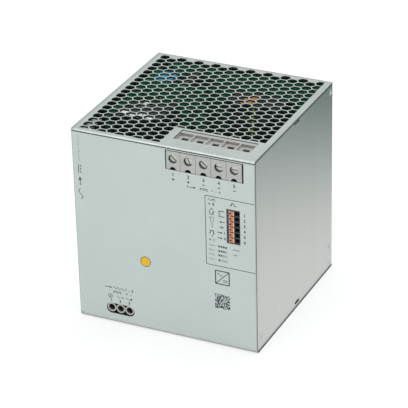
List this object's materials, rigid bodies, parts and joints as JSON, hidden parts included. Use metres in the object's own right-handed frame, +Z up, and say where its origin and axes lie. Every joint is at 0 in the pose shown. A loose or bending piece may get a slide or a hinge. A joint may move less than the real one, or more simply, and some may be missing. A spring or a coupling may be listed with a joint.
{
  "type": "din rail power supply",
  "caption": "Box-shaped rail-mounted power supply: honeycomb-vented hood, screw terminals top and bottom, push-in signal connector, arrow buttons, sprung rail foot.",
  "frame": {"origin": "under the middle of the whole part, at the level of its bottom face", "axes": "+Z up, +X to the right across the front, +Y from the front to the rail"},
  "size_m": [0.12, 0.1284, 0.13],
  "materials": {
    "hood_metal": "satin, fine grain",
    "side_metal": "rolled, satin",
    "front_print": "printed foil, matt",
    "screw_steel": "zinc plated",
    "adapter_metal": "die cast, matt",
    "foot_steel": "zinc plated",
    "spring_steel": "drawn wire",
    "terminal_plastic": "moulded, matt",
    "clamp_steel": "nickel plated",
    "busbar_copper": "tinned copper",
    "connector_black": "moulded, matt",
    "lever_orange": "moulded, matt",
    "button_plastic": "moulded, matt",
    "guide_clear": "clear, frosted ends",
    "board_green": "solder mask",
    "ferrite": "sintered",
    "winding_tape": "polyester tape",
    "winding_copper": "enamelled wire",
    "can_black": "sleeved can",
    "film_blue": "dipped",
    "relay_case": "moulded",
    "package_black": "moulded"
  },
  "bodies": {
    "root": {"hood_top": "hood_metal", "hood_bottom": "hood_metal", "front_panel": "hood_metal", "front_foil": "front_print", "side_left": "side_metal", "side_right": "side_metal", "rear_wall": "side_metal", "housing_screws": "screw_steel", "rail_adapter_plate": "adapter_metal", "foot_spring": "spring_steel", "adapter_screws": "screw_steel", "output_terminal_body": "terminal_plastic", "input_terminal_body": "terminal_plastic", "terminal_busbars": "busbar_copper", "signal_connector_body": "connector_black", "signal_contacts": "clamp_steel", "led_light_guides": "guide_clear", "front_board": "board_green", "front_board_parts": "package_black", "main_board": "board_green", "input_board": "board_green", "output_board": "board_green", "control_board": "board_green", "board_standoffs": "screw_steel", "transformer_core": "ferrite", "transformer_winding": "winding_tape", "pfc_choke": "winding_copper", "output_choke": "winding_copper", "bulk_capacitors": "can_black", "output_capacitors": "can_black", "heatsinks": "adapter_metal", "power_transistors": "package_black", "line_filter_choke": "winding_copper", "film_capacitors": "film_blue", "line_relay": "relay_case"},
    "voltage_button_up": {"voltage_button_up": "button_plastic"},
    "voltage_button_down": {"voltage_button_down": "button_plastic"},
    "output_screw_1": {"output_screw_1": "screw_steel"},
    "output_cage_1": {"output_cage_1": "clamp_steel"},
    "output_screw_2": {"output_screw_2": "screw_steel"},
    "output_cage_2": {"output_cage_2": "clamp_steel"},
    "output_screw_3": {"output_screw_3": "screw_steel"},
    "output_cage_3": {"output_cage_3": "clamp_steel"},
    "output_screw_4": {"output_screw_4": "screw_steel"},
    "output_cage_4": {"output_cage_4": "clamp_steel"},
    "output_screw_5": {"output_screw_5": "screw_steel"},
    "output_cage_5": {"output_cage_5": "clamp_steel"},
    "input_screw_1": {"input_screw_1": "screw_steel"},
    "input_cage_1": {"input_cage_1": "clamp_steel"},
    "input_screw_2": {"input_screw_2": "screw_steel"},
    "input_cage_2": {"input_cage_2": "clamp_steel"},
    "input_screw_3": {"input_screw_3": "screw_steel"},
    "input_cage_3": {"input_cage_3": "clamp_steel"},
    "release_lever_1": {"release_lever_1": "lever_orange"},
    "release_lever_2": {"release_lever_2": "lever_orange"},
    "release_lever_3": {"release_lever_3": "lever_orange"},
    "release_lever_4": {"release_lever_4": "lever_orange"},
    "release_lever_5": {"release_lever_5": "lever_orange"},
    "release_lever_6": {"release_lever_6": "lever_orange"},
    "rail_foot": {"rail_foot": "foot_steel"}
  },
  "joints": [
    {"name": "output_screw_1_turn", "type": "hinge", "parent": "root", "child": "output_screw_1", "pos_m": [0.0072, -0.06245, 0.1219], "axis": [0, 1, 0], "range_deg": [0, 1620]},
    {"name": "output_cage_1_slide", "type": "slide", "parent": "root", "child": "output_cage_1", "axis": [0, -1, 0], "range_m": [0, 0.00315]},
    {"name": "output_screw_2_turn", "type": "hinge", "parent": "root", "child": "output_screw_2", "pos_m": [0.0171, -0.06245, 0.1219], "axis": [0, 1, 0], "range_deg": [0, 1620]},
    {"name": "output_cage_2_slide", "type": "slide", "parent": "root", "child": "output_cage_2", "axis": [0, -1, 0], "range_m": [0, 0.00315]},
    {"name": "output_screw_3_turn", "type": "hinge", "parent": "root", "child": "output_screw_3", "pos_m": [0.027, -0.06245, 0.1219], "axis": [0, 1, 0], "range_deg": [0, 1620]},
    {"name": "output_cage_3_slide", "type": "slide", "parent": "root", "child": "output_cage_3", "axis": [0, -1, 0], "range_m": [0, 0.00315]},
    {"name": "output_screw_4_turn", "type": "hinge", "parent": "root", "child": "output_screw_4", "pos_m": [0.0369, -0.06245, 0.1219], "axis": [0, 1, 0], "range_deg": [0, 1620]},
    {"name": "output_cage_4_slide", "type": "slide", "parent": "root", "child": "output_cage_4", "axis": [0, -1, 0], "range_m": [0, 0.00315]},
    {"name": "output_screw_5_turn", "type": "hinge", "parent": "root", "child": "output_screw_5", "pos_m": [0.0468, -0.06245, 0.1219], "axis": [0, 1, 0], "range_deg": [0, 1620]},
    {"name": "output_cage_5_slide", "type": "slide", "parent": "root", "child": "output_cage_5", "axis": [0, -1, 0], "range_m": [0, 0.00315]},
    {"name": "input_screw_1_turn", "type": "hinge", "parent": "root", "child": "input_screw_1", "pos_m": [-0.0379, -0.05825, 0.0112], "axis": [0, 1, 0], "range_deg": [0, 1440]},
    {"name": "input_cage_1_slide", "type": "slide", "parent": "root", "child": "input_cage_1", "axis": [0, -1, 0], "range_m": [0, 0.002]},
    {"name": "input_screw_2_turn", "type": "hinge", "parent": "root", "child": "input_screw_2", "pos_m": [-0.0318, -0.05825, 0.0112], "axis": [0, 1, 0], "range_deg": [0, 1440]},
    {"name": "input_cage_2_slide", "type": "slide", "parent": "root", "child": "input_cage_2", "axis": [0, -1, 0], "range_m": [0, 0.002]},
    {"name": "input_screw_3_turn", "type": "hinge", "parent": "root", "child": "input_screw_3", "pos_m": [-0.0257, -0.05825, 0.0112], "axis": [0, 1, 0], "range_deg": [0, 1440]},
    {"name": "input_cage_3_slide", "type": "slide", "parent": "root", "child": "input_cage_3", "axis": [0, -1, 0], "range_m": [0, 0.002]},
    {"name": "release_lever_1_press", "type": "slide", "parent": "root", "child": "release_lever_1", "axis": [0, 1, 0], "range_m": [0, 0.0015], "stiffness_N_per_m": 800, "springref_m": -0.001},
    {"name": "release_lever_2_press", "type": "slide", "parent": "root", "child": "release_lever_2", "axis": [0, 1, 0], "range_m": [0, 0.0015], "stiffness_N_per_m": 800, "springref_m": -0.001},
    {"name": "release_lever_3_press", "type": "slide", "parent": "root", "child": "release_lever_3", "axis": [0, 1, 0], "range_m": [0, 0.0015], "stiffness_N_per_m": 800, "springref_m": -0.001},
    {"name": "release_lever_4_press", "type": "slide", "parent": "root", "child": "release_lever_4", "axis": [0, 1, 0], "range_m": [0, 0.0015], "stiffness_N_per_m": 800, "springref_m": -0.001},
    {"name": "release_lever_5_press", "type": "slide", "parent": "root", "child": "release_lever_5", "axis": [0, 1, 0], "range_m": [0, 0.0015], "stiffness_N_per_m": 800, "springref_m": -0.001},
    {"name": "release_lever_6_press", "type": "slide", "parent": "root", "child": "release_lever_6", "axis": [0, 1, 0], "range_m": [0, 0.0015], "stiffness_N_per_m": 800, "springref_m": -0.001},
    {"name": "voltage_button_up_press", "type": "slide", "parent": "root", "child": "voltage_button_up", "axis": [0, 1, 0], "range_m": [0, 0.0005], "stiffness_N_per_m": 1000, "springref_m": -0.0005},
    {"name": "voltage_button_down_press", "type": "slide", "parent": "root", "child": "voltage_button_down", "axis": [0, 1, 0], "range_m": [0, 0.0005], "stiffness_N_per_m": 1000, "springref_m": -0.0005},
    {"name": "rail_foot_slide", "type": "slide", "parent": "root", "child": "rail_foot", "axis": [0, 0, -1], "range_m": [0, 0.0034], "stiffness_N_per_m": 2000, "springref_m": -0.002, "deforming": ["foot_spring"]}
  ],
  "couplings": [
    {"joint": "output_screw_1_turn", "follows": "output_cage_1_slide", "rad_per_m": 8976},
    {"joint": "output_screw_2_turn", "follows": "output_cage_2_slide", "rad_per_m": 8976},
    {"joint": "output_screw_3_turn", "follows": "output_cage_3_slide", "rad_per_m": 8976},
    {"joint": "output_screw_4_turn", "follows": "output_cage_4_slide", "rad_per_m": 8976},
    {"joint": "output_screw_5_turn", "follows": "output_cage_5_slide", "rad_per_m": 8976},
    {"joint": "input_screw_1_turn", "follows": "input_cage_1_slide", "rad_per_m": 12566},
    {"joint": "input_screw_2_turn", "follows": "input_cage_2_slide", "rad_per_m": 12566},
    {"joint": "input_screw_3_turn", "follows": "input_cage_3_slide", "rad_per_m": 12566}
  ]
}
